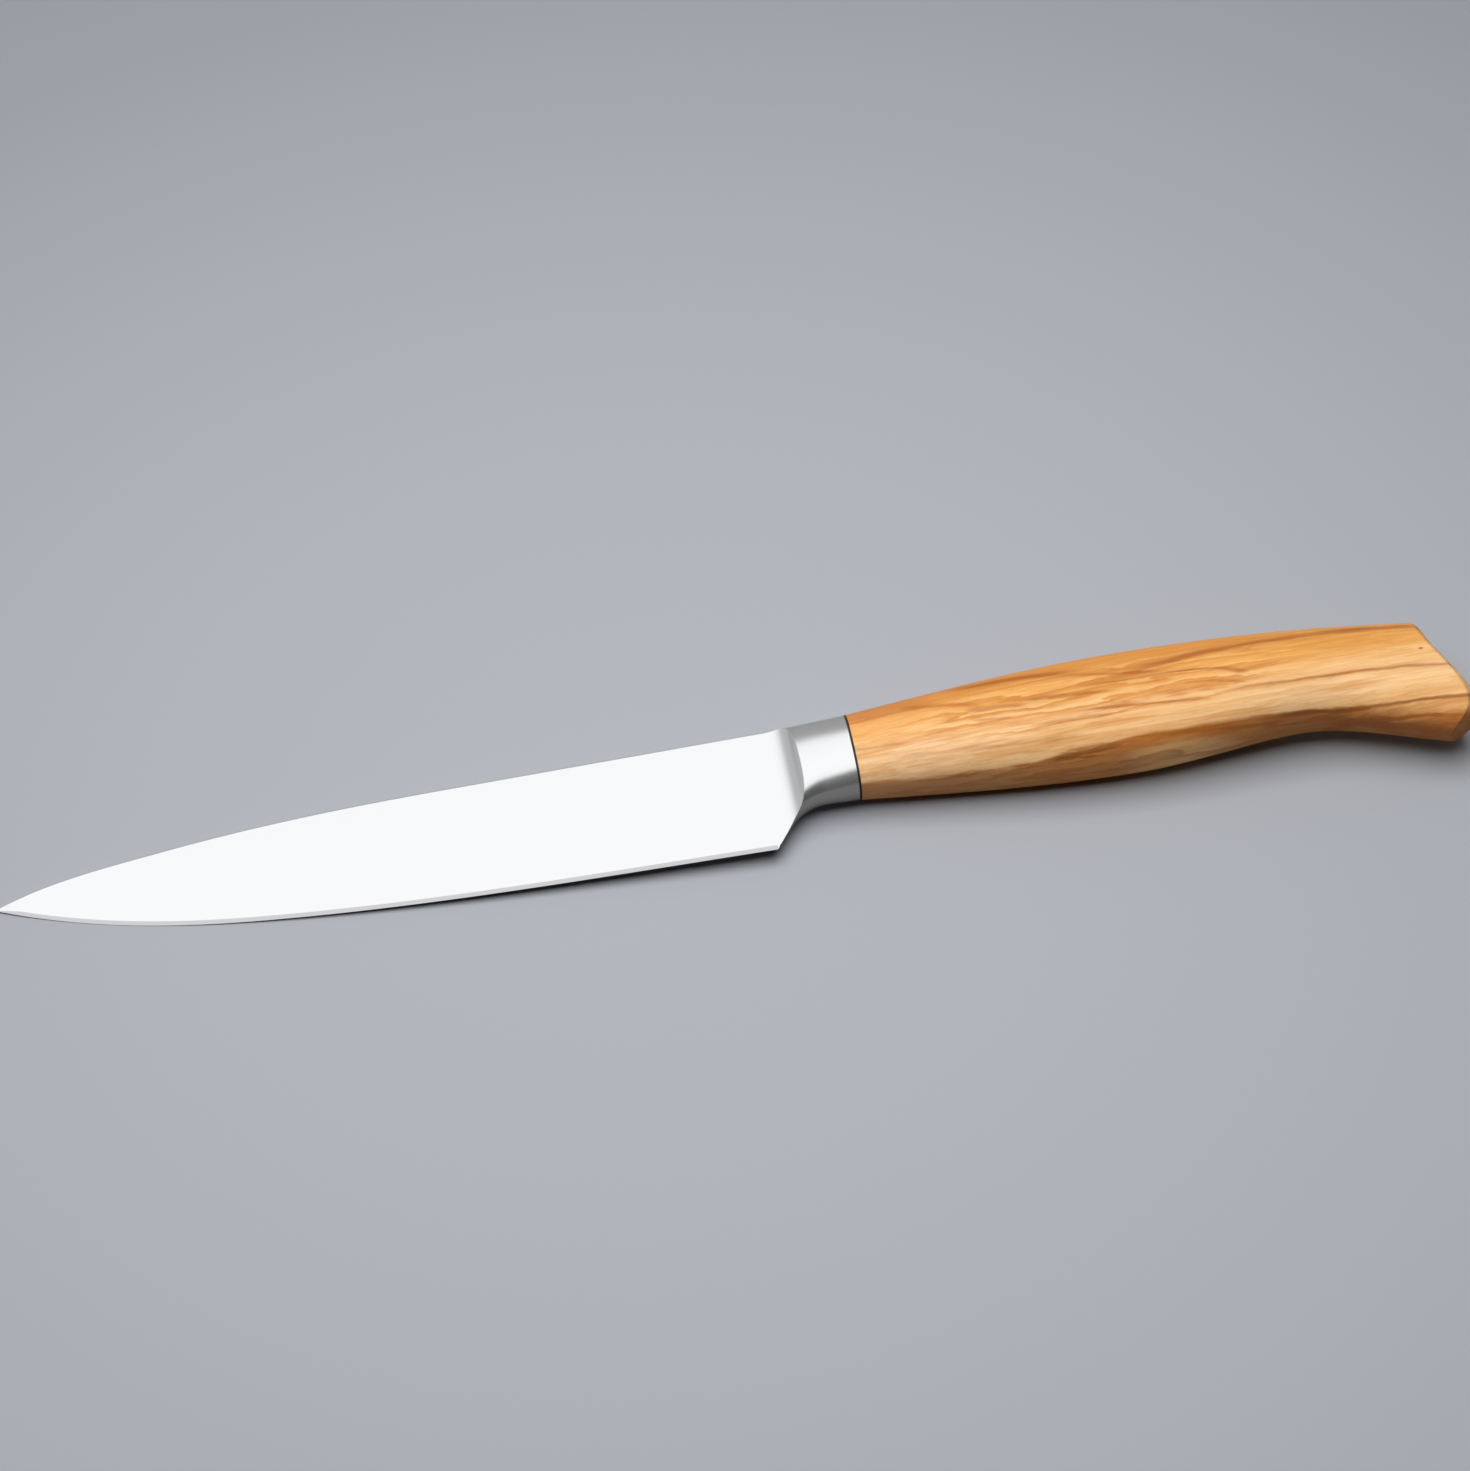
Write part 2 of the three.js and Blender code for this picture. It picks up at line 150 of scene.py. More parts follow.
def through(stations, x):
    """Smooth curve through stations of x, height and slope: a cubic Hermite piece between two of them, and
    straight past the ends."""
    at, height, slope = np.array(stations).T
    i = np.clip(np.searchsorted(at, x) - 1, 0, len(at) - 2)
    run = at[i + 1] - at[i]
    t = np.clip((x - at[i]) / run, 0, 1)
    back = 1 - t
    level = height[i] * (1 + 2 * t) * back**2 + height[i + 1] * t**2 * (3 - 2 * t)
    bend = run * t * back * (slope[i] * back - slope[i + 1] * t)
    return level + bend + slope[0] * np.minimum(x - at[0], 0) + slope[-1] * np.maximum(x - at[-1], 0)


def oval(v, power=SECTION_POWER):
    """Half thickness of a superellipse as a share of its middle's, at v from 1 (spine) to -1 (edge)."""
    return np.maximum(1 - np.abs(v) ** power, 0) ** (1 / power)


def underside(x):
    """Lower outline: cutting edge, the heel's straight back, the choil's hollow arc, then the bolster."""
    edge = through(EDGE_STATIONS, x)
    back_edge = HEEL_Y + (x - HEEL_X) * np.tan(CHOIL_TURN)
    hollow = np.sqrt(np.maximum(CHOIL_RADIUS**2 - (CHOIL_ARC_END - x) ** 2, 0))
    choices = [edge, back_edge, UNDER_Y - CHOIL_RADIUS + hollow]
    return np.select([x <= HEEL_X, x <= CHOIL_ARC_START, x < CHOIL_ARC_END], choices, UNDER_Y)


def bevel_height(x):
    """The edge bevel's height, narrowed close to the point."""
    return np.minimum(BEVEL_WIDTH, POINT_TAPER * (through(SPINE_STATIONS, x) - underside(x)))


def ground_flank(x, y):
    """Half thickness of the flat grind: a straight taper from spine to edge bevel and from bolster to point,
    with a small round where flank and spine meet."""
    ahead = np.minimum(x, HEEL_X)
    bottom = through(EDGE_STATIONS, ahead) + bevel_height(ahead)
    top = through(SPINE_STATIONS, x)
    along = np.clip(1 - x / POINT_X, 0, 1)
    spine = np.minimum(POINT_THICK + (SPINE_THICK - POINT_THICK) * along, POINT_TAPER * (top - bottom))
    edge = np.minimum(EDGE_THICK, spine)
    up = np.clip((y - bottom) / np.maximum(top - bottom, SLIVER), 0, 1)
    ease = np.minimum(SPINE_EASE, SPINE_EASE_SHARE * spine)
    short = np.clip(ease - (top - y), 0, ease)
    return (edge + (spine - edge) * up) / 2 - (ease - np.sqrt(ease**2 - short**2))


def bolster_half(x, v):
    """Half thickness of the bolster's round body: a superellipse that grows evenly from nose to joint."""
    along = np.clip(x / BOLSTER_LENGTH + 1, 0, 1)
    return (BOLSTER_NOSE_THICK + (JOINT_THICK - BOLSTER_NOSE_THICK) * along) / 2 * oval(np.clip(v, -1, 1))


COVE_RISE = BOLSTER_NOSE_THICK / 2 - ground_flank(-BOLSTER_LENGTH, 0.0)
COVE_START = -BOLSTER_LENGTH - np.sqrt(COVE_RADIUS**2 - max(COVE_RADIUS - COVE_RISE, 0) ** 2)


def cove_rise(x):
    """Rise of the cove's arc above the flank, without bound past the arc."""
    run = np.maximum(x - COVE_START, 0)
    arc = COVE_RADIUS - np.sqrt(np.maximum(COVE_RADIUS**2 - run**2, 0))
    return np.where(run < COVE_RADIUS, arc, np.inf)


def forging_rows(x):
    """Heights of the forging at x on each stop: evenly round the bolster, on the blade down to its bevel."""
    top, under = through(SPINE_STATIONS, x), underside(x)
    run_out = np.clip((x - HEEL_X) / BEVEL_RUN_OUT, 0, 1)
    lowest = (1 + STOPS[-2]) / 2 * (top - under)
    rim = bevel_height(x) * (1 - run_out) + lowest * run_out
    share = (1 - STOPS) / (1 - STOPS[-2])
    y = top + (under + rim - top) * share
    return np.where(np.arange(FLANK_STOPS + 1) == FLANK_STOPS, under, y)


def forging_flank(x):
    """One flank of the forging over a grid of x, with a row of stops for each ring: the ground flank with
    its cove, wherever the bolster's round body isn't thinner. Spine and edge lie in the middle plane."""
    y = forging_rows(x)
    top, under = through(SPINE_STATIONS, x), underside(x)
    v = (2 * y - top - under) / np.maximum(top - under, SLIVER)
    z = np.minimum(ground_flank(x, y) + cove_rise(x), bolster_half(x, v))
    z[:, [0, -1]] = 0
    return np.stack([x, y, np.maximum(z, 0)], -1)


def crease_line():
    """Where the cove meets the bolster on each stop, found by halving for all the stops at once."""
    low = np.full((1, FLANK_STOPS + 1), COVE_START)
    high = np.zeros_like(low)
    for _ in range(HALVINGS):
        x = (low + high) / 2
        y = forging_rows(x)
        inside = ground_flank(x, y) + cove_rise(x) <= forging_flank(x)[..., 2] + TOUCH
        low, high = np.where(inside, x, low), np.where(inside, high, x)
    return np.maximum(low, COVE_START + COVE_RADIUS / COVE_RINGS)


def section(x, height, thick, power):
    """Flank of a section at x, square to the knife: a superellipse of a height, thickness and power."""
    return np.stack([np.full_like(STOPS, x), STOPS * height / 2, oval(STOPS, power) * thick / 2], -1)[None]


def whole(flank):
    """Closed rings from one flank's points: down it from the spine, then back up the mirrored flank."""
    return np.concatenate([flank, flank[:, -2:0:-1] * [1, 1, -1]], axis=1)


def laddered(ring):
    """Faces that close a ring of two like flanks: quads from flank to flank, triangles at spine and edge."""
    middle = len(ring) // 2
    down, up = ring[1:middle], ring[:middle:-1]
    quads = np.stack([down[:-1], down[1:], up[1:], up[:-1]], -1)
    return [[ring[0], down[0], up[0]], *quads.tolist(), [down[-1], ring[middle], up[-1]]]


def skinned(name, rings, sharp, looped=False):
    """Closed mesh over rings of points: quads from ring to ring, then faces on both ends or, if looped,
    quads from the last ring back to the first. Edges that turn by more than sharp stay sharp."""
    count, around = rings.shape[:2]
    index = np.arange(count * around).reshape(count, around)
    here = index if looped else index[:-1]
    after = np.roll(index, -1, axis=0) if looped else index[1:]
    quads = np.stack([here, np.roll(here, -1, 1), np.roll(after, -1, 1), after], -1).reshape(-1, 4)
    ends = [] if looped else laddered(np.roll(index[0, ::-1], 1)) + laddered(index[-1])
    mesh = bpy.data.meshes.new(name)
    mesh.from_pydata(lying(rings.reshape(-1, 3)), [], quads.tolist() + ends)
    merged = bmesh.new()
    merged.from_mesh(mesh)
    bmesh.ops.remove_doubles(merged, verts=merged.verts, dist=MERGE_METRES)
    merged.to_mesh(mesh)
    merged.free()
    mesh.shade_smooth()
    mesh.set_sharp_from_angle(angle=sharp)
    piece = bpy.data.objects.new(name, mesh)
    bpy.context.collection.objects.link(piece)
    return piece


class Value:
    """One output of a shader node. Arithmetic on values adds Math nodes to their tree."""

    # The Mix node's sockets for colours: its factor, the colour below, the colour above and the result
    FACTOR, BELOW, ABOVE, MIXED = 0, 6, 7, 2

    def __init__(self, tree, socket=None):
        self.tree = tree
        self.socket = socket

    def node(self, kind, inputs=None, output=0, stops=None, **settings):
        """Adds a node of a kind: its settings and ramp stops first, then its inputs, as numbers or links."""
        node = self.tree.nodes.new("ShaderNode" + kind)
        for name, setting in settings.items():
            setattr(node, name, setting)
        for place, colour in stops or []:
            element = node.color_ramp.elements.new(place)
            element.color = colour
        if stops:
            node.color_ramp.elements.remove(node.color_ramp.elements[0])
            node.color_ramp.elements.remove(node.color_ramp.elements[-1])
        for key, given in (inputs or {}).items():
            if isinstance(given, Value):
                self.tree.links.new(given.socket, node.inputs[key])
            else:
                node.inputs[key].default_value = given
        return Value(self.tree, node.outputs[output])

    def math(self, operation, *inputs):
        return self.node("Math", dict(enumerate(inputs)), operation=operation)

    def __add__(self, other):
        return self.math("ADD", self, other)

    def __sub__(self, other):
        return self.math("SUBTRACT", self, other)

    def __rsub__(self, other):
        return self.math("SUBTRACT", other, self)

    def __mul__(self, other):
        return self.math("MULTIPLY", self, other)

    def __truediv__(self, other):
        return self.math("DIVIDE", self, other)

    def __rtruediv__(self, other):
        return self.math("DIVIDE", other, self)

    __radd__ = __add__
    __rmul__ = __mul__

    def __abs__(self):
        return self.math("ABSOLUTE", self)

    def part(self, axis):
        """A vector's part along X, Y or Z."""
        return self.node("SeparateXYZ", {"Vector": self}, output=axis)

    def rise(self, low, high):
        """0 below low and 1 above high, easing between them."""
        steps = {"Value": self, "From Min": low, "From Max": high}
        return self.node("MapRange", steps, interpolation_type="SMOOTHSTEP")

    def fall(self, low, high):
        """1 below low and 0 above high, easing between them."""
        return 1 - self.rise(low, high)

    def band(self, comes, goes):
        """0 outside a band and 1 inside it, rising over one stretch and falling over another."""
        return self.rise(*comes) * self.fall(*goes)

    def over(self, colour, other):
        """One colour over another, by this value."""
        inputs = {self.FACTOR: self, self.BELOW: other, self.ABOVE: colour}
        return self.node("Mix", inputs, output=self.MIXED, data_type="RGBA")

    def shaded(self, shade):
        """This colour multiplied by another."""
        inputs = {self.FACTOR: 1.0, self.BELOW: self, self.ABOVE: shade}
        return self.node("Mix", inputs, output=self.MIXED, data_type="RGBA", blend_type="MULTIPLY")

    def into(self, shader, name):
        self.tree.links.new(self.socket, shader.inputs[name])


def finish(name):
    """A new material, its Principled shader, and the place in the knife's own millimetres, as a vector."""
    material = bpy.data.materials.new(name)
    material.use_nodes = True
    tree = material.node_tree
    objects = Value(tree).node("TexCoord", output="Object")
    place = {"Vector": objects, "Location": joint, "Rotation": (lean, -pitch, 0), "Scale": [MILLIMETRE] * 3}
    own = objects.node("Mapping", place, vector_type="TEXTURE")
    return material, tree.nodes["Principled BSDF"], own


def drawn_out(own, along, across, detail, roughness=0.5, seed=0.0):
    """Noise with one count of cycles for each millimetre along the knife and another across it."""
    scaled = own.node("VectorMath", {0: own, 1: (along, across, across)}, operation="MULTIPLY")
    shifted = own.node("VectorMath", {0: scaled, 1: (seed, seed, seed)}, operation="ADD")
    inputs = {"Vector": shifted, "Scale": 1.0, "Detail": detail, "Roughness": roughness}
    return own.node("TexNoise", inputs)


def wander(noise, reach):
    """Noise as a swing to both sides of nothing: its distance from one half, times a reach."""
    return reach * (noise - 0.5)


STEEL = (0.80, 0.805, 0.815, 1)
HONED = (0.56, 0.56, 0.58, 1)
STEEL_ROUGHNESS = 0.25
HONED_ROUGHER = 0.1
GRIND_UNEVEN = 0.06
GRIND_ENDS = (COVE_START - 2, COVE_START + 1)
GRIND_BUMP = {"Strength": 0.012, "Distance": 0.0002}
BEVEL_STARTS = (0.02, 0.12)

# Lines of the grind, as: cycles for each millimetre along and across the knife, detail, roughness
GRIND_LINES = (5.0, 0.04, 3, 0.6)

to_point = 1 - np.cos(np.linspace(0, np.pi / 2, BLADE_RINGS))
to_heel = POINT_CROWDING * to_point + (1 - POINT_CROWDING) * np.linspace(0, 1, BLADE_RINGS)
blade_x = POINT_X + (HEEL_X - POINT_X) * to_heel
choil_x = np.linspace(HEEL_X, COVE_START, CHOIL_RINGS + 1)[1:]
crease = crease_line()
cove_x = COVE_START + (crease - COVE_START) * np.linspace(0, 1, COVE_RINGS + 1)[1:, None]
bolster_x = crease * np.linspace(1, 0, BOLSTER_RINGS + 1)[1:, None]
level_x = np.repeat(np.concatenate([blade_x, choil_x])[:, None], FLANK_STOPS + 1, axis=1)
forged = forging_flank(np.concatenate([level_x, cove_x, bolster_x]))
tang_root = section(0, TANG_HEIGHT, TANG_THICK, TANG_POWER)
tang_end = section(TANG_LENGTH, TANG_END_HEIGHT, TANG_THICK, TANG_POWER)
blade = skinned("forged_blade", whole(np.concatenate([forged, tang_root, tang_end])), SHARP_STEEL)

places = np.empty(3 * len(blade.data.vertices))
blade.data.vertices.foreach_get("co", places)
own_x, own_y = ((places.reshape(-1, 3) - joint) / MILLIMETRE @ np.array([to_butt, to_spine]).T).T
on_edge = (own_x < HEEL_X + ON_EDGE) & (own_y < underside(own_x) + ON_EDGE)
honed = blade.data.attributes.new("honed", "FLOAT", "POINT")
honed.data.foreach_set("value", on_edge.astype(float))

steel, steel_shader, own = finish("satin_steel")
steel_shader.inputs["Metallic"].default_value = 1
bevel = own.node("Attribute", output="Fac", attribute_name="honed").rise(*BEVEL_STARTS)
grind = drawn_out(own, *GRIND_LINES)
flank = own.part("X").fall(*GRIND_ENDS)
scratches = flank * grind
bevel.over(HONED, STEEL).into(steel_shader, "Base Color")
uneven = flank * wander(grind, GRIND_UNEVEN)
(STEEL_ROUGHNESS + uneven + HONED_ROUGHER * bevel).into(steel_shader, "Roughness")
scratches.node("Bump", {"Height": scratches, **GRIND_BUMP}).into(steel_shader, "Normal")
blade.data.materials.append(steel)
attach(blade, "root")
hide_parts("blade")


# Spacer
# A thin washer of black vulcanised fibre between bolster and wood. The tang passes through its slot,
# and it is glued in and ground flush with both.
SLOT_CLEARANCE = 0.3
SLOT_HEIGHT = TANG_HEIGHT + 2 * SLOT_CLEARANCE
SLOT_THICK = TANG_THICK + 2 * SLOT_CLEARANCE
SHARP_FIBRE = np.radians(30)
FIBRE_BLACK = (0.010, 0.009, 0.009, 1)
FIBRE_SPECK = (0.030, 0.028, 0.028, 1)
FIBRE_ROUGHNESS = 0.45
SPECK_ROUGHER = 0.2
SPECKS = (3.0, 3.0, 2)

washer = [
    section(SPACER_FRONT, JOINT_HEIGHT, JOINT_THICK, SECTION_POWER),
    section(SPACER_BACK, JOINT_HEIGHT, JOINT_THICK, SECTION_POWER),
    section(SPACER_BACK, SLOT_HEIGHT, SLOT_THICK, TANG_POWER),
    section(SPACER_FRONT, SLOT_HEIGHT, SLOT_THICK, TANG_POWER),
]
spacer = skinned("fibre_spacer", whole(np.concatenate(washer)), SHARP_FIBRE, looped=True)

fibre, fibre_shader, own = finish("black_fibre")
specks = drawn_out(own, *SPECKS)
specks.over(FIBRE_SPECK, FIBRE_BLACK).into(fibre_shader, "Base Color")
(FIBRE_ROUGHNESS + SPECK_ROUGHER * specks).into(fibre_shader, "Roughness")
spacer.data.materials.append(fibre)
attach(spacer, "root")
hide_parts("bolster_spacer")


# Adhesive
# Cured epoxy that fills the mortise round the tang and holds the handle on. It is poured in before the tang
# is pressed home, and it is hidden once the knife is closed, so the solid's mesh only gets a finish here.
EPOXY_AMBER = (0.62, 0.46, 0.22, 1)
EPOXY_MILKY = (0.80, 0.66, 0.40, 1)
EPOXY_ROUGHNESS = 0.25
CLOUD_ROUGHER = 0.2
CLOUDS = (0.2, 0.2, 3)

epoxy, epoxy_shader, own = finish("cured_epoxy")
clouds = drawn_out(own, *CLOUDS)
clouds.over(EPOXY_MILKY, EPOXY_AMBER).into(epoxy_shader, "Base Color")
(EPOXY_ROUGHNESS + CLOUD_ROUGHER * clouds).into(epoxy_shader, "Roughness")
adhesive = frame["nodes"]["tang_adhesive"]
adhesive.data.materials.clear()
adhesive.data.materials.append(epoxy)


# Handle
# One piece of oiled olive wood, bored for the tang and glued to it, with a swell for the palm and a beak at
# the butt. Its grain runs along the knife, pale straw to orange, with dark brown veins.
HANDLE_FRONT = 0.45
HANDLE_LENGTH = 110.8
SWELL_BACK = 60.6
SWELL_RISE = 11.3
BUTT_RISE = 7.0
BELLY_BACK = 56.1
BELLY_DROP = 12.8
WAIST_BACK = 26.1
WAIST_DROP = 10.7
HOOK_PAST = 0.4
HOOK_DROP = 18.4
BEAK_REACH = 5.1
BEAK_ROUND = 3.9
BEAK_TOP = 0.75
BEAK_TIP = -0.5
BUTT_EDGE_RADIUS = 0.8
BUTT_EDGE_TURN = np.radians(45)
BUTT_DOME = 2.5
SWELL_THICK = 16.1
BUTT_THICK = 12.0
FRONT_SPINE_SLOPE = 0.065
FRONT_BELLY_SLOPE = -0.098
FRONT_FLANK_SLOPE = 0.1
BUTT_SPINE_SLOPE = -0.13
HOOK_SLOPE = -0.33
BUTT_FLANK_SLOPE = -0.05
BED_ROOM = 1.0
BED_END_ROOM = 3.0
BED_HEIGHT = TANG_HEIGHT + 2 * BED_ROOM
BED_END_HEIGHT = TANG_END_HEIGHT + 2 * BED_ROOM
BED_THICK = TANG_THICK + 2 * BED_ROOM

HANDLE_RINGS = 150
ROUND_RINGS = 8
DOME_RINGS = 20
SHARP_WOOD = np.radians(40)

HANDLE_SPINE = [
    (0, JOINT_HEIGHT / 2, FRONT_SPINE_SLOPE),
    (HANDLE_LENGTH - SWELL_BACK, SWELL_RISE, 0),
    (HANDLE_LENGTH, BUTT_RISE, BUTT_SPINE_SLOPE),
]
HANDLE_BELLY = [
    (0, -JOINT_HEIGHT / 2, FRONT_BELLY_SLOPE),
    (HANDLE_LENGTH - BELLY_BACK, -BELLY_DROP, 0),
    (HANDLE_LENGTH - WAIST_BACK, -WAIST_DROP, 0),
    (HANDLE_LENGTH + HOOK_PAST, -HOOK_DROP, HOOK_SLOPE),
]
HANDLE_FLANK = [
    (0, JOINT_THICK / 2, FRONT_FLANK_SLOPE),
    (HANDLE_LENGTH - SWELL_BACK, SWELL_THICK / 2, 0),
    (HANDLE_LENGTH + BEAK_REACH, BUTT_THICK / 2, BUTT_FLANK_SLOPE),
]


def butt_length(v):
    """Length of the handle at v: a smooth step out from spine to beak, a parabola back to the corner."""
    slant = np.clip((BEAK_TOP - v) / (BEAK_TOP - BEAK_TIP), 0, 1)
    beak = np.clip((BEAK_TIP - v) / (1 + BEAK_TIP), 0, 1)
    return HANDLE_LENGTH + BEAK_REACH * slant**2 * (3 - 2 * slant) - BEAK_ROUND * beak**2


def handle_flank(length, v, inset):
    """Flank of the handle at a length and v: a superellipse between curves of spine and belly, set in."""
    top, under = through(HANDLE_SPINE, length), through(HANDLE_BELLY, length)
    y = (top + under) / 2 + v * ((top - under) / 2 - inset)
    z = oval(v) * (through(HANDLE_FLANK, length) - inset)
    return np.stack([HANDLE_FRONT + length, y, z], -1)


v = STOPS[None]
butt = butt_length(v)
mortise_end = section(TANG_LENGTH + BED_END_ROOM, BED_END_HEIGHT, BED_THICK, TANG_POWER)
mortise_mouth = section(HANDLE_FRONT, BED_HEIGHT, BED_THICK, TANG_POWER)
body = handle_flank(np.linspace(0, 1, HANDLE_RINGS)[:, None] * (butt - BUTT_EDGE_RADIUS), v, 0)
turn = np.linspace(0, BUTT_EDGE_TURN, ROUND_RINGS + 1)[1:, None]
short = BUTT_EDGE_RADIUS * (1 - np.sin(turn))
inset = BUTT_EDGE_RADIUS * (1 - np.cos(turn))
edge_round = handle_flank(butt - short, v, inset)
out = np.linspace(1, 0, DOME_RINGS + 1)[1:-1, None]
dome = handle_flank(butt - short[-1] * out**2, v, inset[-1])
dome[..., 0] += BUTT_DOME * oval(v) * (1 - out**2)
dome[..., 2] *= out
shell = np.concatenate([mortise_end, mortise_mouth, body, edge_round, dome])
handle = skinned("olive_handle", whole(shell), SHARP_WOOD)

CREAM = (0.96, 0.58, 0.25, 1)
# Partly painted light: this rose tone is paler than the wood's own, to lighten the lower flank
ROSE_WITH_PAINTED_LIGHT = (0.99, 0.66, 0.37, 1)
STRAW = (0.88, 0.47, 0.185, 1)
GOLD = (0.83, 0.40, 0.095, 1)
AMBER = (0.70, 0.29, 0.06, 1)
RUST = (0.60, 0.23, 0.06, 1)
TAN = (0.62, 0.29, 0.11, 1)
BROWN = (0.44, 0.14, 0.025, 1)
UMBER = (0.29, 0.09, 0.018, 1)
WOOD_FIBRE_SHADES = [(0.25, (0.87, 0.83, 0.77, 1)), (0.65, (1, 1, 1, 1))]
WOOD_SPECULAR = 0.3
WOOD_ROUGHNESS = 0.40
WOOD_FIBRE_ROUGHER = 0.14
WOOD_FIBRE_BUMP = {"Strength": 0.05, "Distance": 0.0003}

# Grain, each as: cycles for each millimetre along and across it, detail, roughness, seed
RIPPLE = (0.06, 0.25, 4, 0.6, 8.4)
BROAD = (0.025, 0.16, 2, 0.5, 1.3)
STREAKS = (0.022, 0.42, 4, 0.6, 5.7)
DASHES = (0.065, 0.50, 3, 0.55, 4.4)
STRANDS = (0.09, 1.1, 3, 0.6, 7.1)
FIBRES = (0.07, 2.2, 3, 0.6, 0.0)
PORES = (0.45, 6.0, 1, 0.5, 2.2)

# How far the grain swings, in millimetres of height, and how the figure leans through the wood's thickness
RIPPLE_SWING = 2.0
STREAK_SWING = 5
DASH_SWING = 5
BROAD_SWING = 4
FIGURE_LEAN = 0.25

# Growth rings: their width, and the parts of one where the early wood ends and the late wood comes and goes
RING_WIDTH = 2.4
EARLY_ENDS = (0, 0.45)
LATE_COMES = (0.35, 0.92)
LATE_GOES = (0.92, 1)

# Ellipses on the flank, each as: its middle along the knife, its height there, half length, half height
FLAMES = (48, 2, 44, 8)
PATCH = (43, -9.8, 8, 1.6)
SAPWOOD = (62, -12.6, 15, 2.8)
ARCH = (62, 0.2, 13.5, 2.9)
INNER_ARCH = (62, -1.6, 12.7, 2.0)
KNOT = (110, -0.3, 0.6, 0.3)
SOFT_RIM = (0.3, 1)
KNOT_RIM = (0.2, 1)
ARCH_LINE = (0.05, 0.3)

# The heartwood's rim: its height ahead of the handle, then its steps, each as: from, to, change in height
RIM_HEIGHT = -6.9
RIM_STEPS = [(-6, 30, -2.6), (34, 64, 1.3), (68, 122, -3.4)]
RIM_EDGE = (-0.3, 0.7)
RIM_LINE_DEPTH = 0.3
RIM_VEIN_WIDTH = (0.1, 0.7)
RIM_LINE_WIDTH = (0.1, 0.6)
BEAK_DEPTH = (3, 5)

# Heights on the flank between which a tone comes or goes, each as: from, to
GOLD_UP = (-2, 4)
CROWN_UP = (4, 8)
FRONT_TOP_UP = (4.8, 6.0)
CREAM_UP = (-1, 5)
# The pale and rosy bands low on the flank hold painted light as well as the wood's tone
PALE_FOOT = (-9.5, -7)
PALE_TOP = (-4.5, -2.5)
ROSY_FOOT = (-10.5, -8)
ROSY_TOP = (-3, 2)
ARCH_FOOT = (0, 1)
INNER_ARCH_FOOT = (-1.8, -0.8)

# Stretches along the knife over which a tone or a line comes or goes, each as: from, to
GOLD_COMES = (8, 32)
CROWN_GOES = (70, 100)
FRONT_TOP_GOES = (10, 22)
PALE_COMES = (55, 85)
ROSY_GOES = (18, 48)
HEART_GOES = (92, 106)
TAN_GOES = (22, 40)
DEEP_COMES = (70, 80)
DEEP_GOES = (90, 104)
BEAK_COMES = (94, 104)
RIM_VEIN_COMES = (68, 84)
RIM_LINE_COMES = (4, 20)
RIM_LINE_GOES = (48, 58)
ARCHES_COME = (60, 67)

# Levels of the grain's noise between which a tone comes or goes, each as: from, to
BROAD_CREAM = (0.42, 0.58)
CREAM_STREAKS = (0.40, 0.48)
AMBER_STREAKS = (0.52, 0.62)
RUST_DASHES = (0.48, 0.60)
HEART_DASHES = (0.44, 0.56)
RIM_STRANDS = (0.4, 0.55)
PATCH_STRANDS = (0.42, 0.58)
DARK_PORES = (0.60, 0.72)

# Veins, each as: its middle along the knife, its height there, slope, bend, half width, length, darkness
VEINS = [
    (32, 8.5, -0.05, 0, 0.94, 30, 0.9),
    (51, 5.6, -0.15, 0, 0.61, 24, 0.6),
    (84, 7.2, 0, -0.0022, 0.94, 76, 0.85),
    (96, -3.2, -0.06, -0.0008, 0.54, 60, 0.75),
    (41, 2.6, -0.09, 0, 0.54, 20, 0.75),
    (28, 2.8, -0.06, 0, 0.81, 14, 0.6),
    (18, 5.4, -0.2, 0, 0.68, 18, 0.55),
    (27, 0.2, -0.1, 0, 0.54, 9, 0.5),
    (55, -2.2, -0.07, 0, 0.54, 28, 0.65),
    (42, -3.0, -0.06, 0, 0.68, 18, 0.45),
    (56, 3.5, -0.03, 0, 0.54, 26, 0.6),
    (25, -5.2, -0.08, 0, 0.68, 44, 0.35),
    (3, -0.7, -0.1, 0, 0.47, 18, 0.45),
    (62, -8.9, 0, 0, 0.41, 30, 0.8),
    (70, -9.5, -0.02, 0, 0.41, 30, 0.8),
    (103, -13.6, -0.2, 0, 0.6, 34, 0.95),
    (107, -16.2, -0.34, 0, 0.81, 26, 0.8),
]
VEIN_CORE = 0.7
VEIN_CORE_STARTS = 0.1
VEIN_HALO_WIDTH = 3
VEIN_FADES = (0.25, 0.5)


def vein(x, height, middle, level, slope, bend, width, length, darkness):
    """A dark sheet in the wood, which shows as a line: a parabola in height along x, with a dark core and a
    soft halo, that fades out at both ends."""
    run = x - middle
    away = abs(height - (level + slope * run + bend * run * run))
    core = VEIN_CORE * away.fall(VEIN_CORE_STARTS * width, width)
    halo = (1 - VEIN_CORE) * away.fall(0, VEIN_HALO_WIDTH * width)
    start, end = VEIN_FADES
    return darkness * (core + halo) * abs(run).fall(start * length, end * length)


def from_middle(x, height, middle, level, length, tall):
    """How far out in an ellipse, squared: 0 at its middle and 1 on its rim."""
    along = (x - middle) / length
    up = (height - level) / tall
    return along * along + up * up


olive, olive_shader, own = finish("oiled_olive_wood")
olive_shader.inputs["Specular IOR Level"].default_value = WOOD_SPECULAR
noises = (drawn_out(own, *grain) for grain in (RIPPLE, BROAD, STREAKS, DASHES, STRANDS, FIBRES, PORES))
ripple, broad, streaks, dashes, strands, fibres, pores = noises
x = own.part("X")
height = own.part("Y") + FIGURE_LEAN * own.part("Z") + wander(ripple, RIPPLE_SWING)

